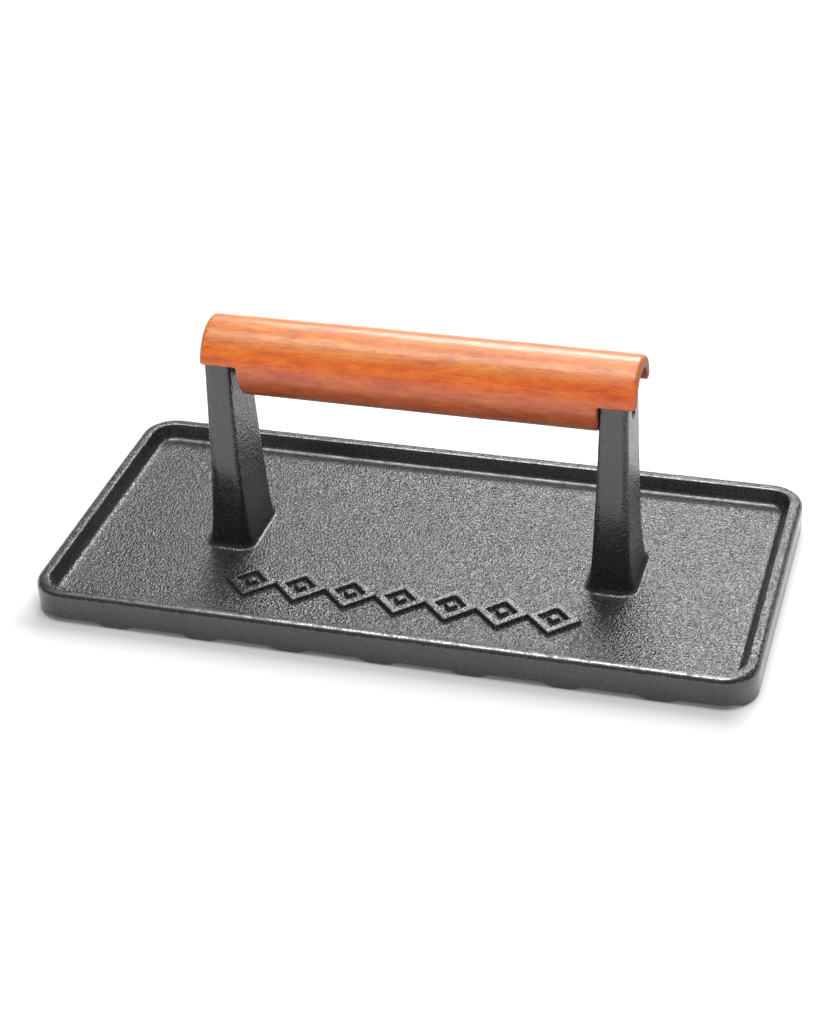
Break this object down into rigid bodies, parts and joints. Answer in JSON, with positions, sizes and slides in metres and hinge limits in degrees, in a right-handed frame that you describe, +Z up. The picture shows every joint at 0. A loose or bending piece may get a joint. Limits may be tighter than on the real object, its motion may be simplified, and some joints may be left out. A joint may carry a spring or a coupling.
{
  "type": "bacon press",
  "caption": "Rectangular cast-iron bacon press with a rimmed top, ribbed cooking face, two tapered posts and a turned wooden grip.",
  "frame": {"origin": "centre of the resting plane, under the middle of the plate", "axes": "+X along the plate and the grip, +Y to the back of the plate (the border of lozenges is at the front, -Y), +Z up from the cooking face to the grip"},
  "size_m": [0.222, 0.108, 0.0804],
  "materials": {
    "cast_iron": "black seasoned casting, fine sand grain",
    "stained_wood": "orange-brown stain under satin varnish",
    "screw_steel": "zinc-plated steel"
  },
  "bodies": {
    "root": {"press_plate": "cast_iron", "wooden_grip": "stained_wood", "right_grip_screw": "screw_steel", "left_grip_screw": "screw_steel"}
  },
  "joints": []
}
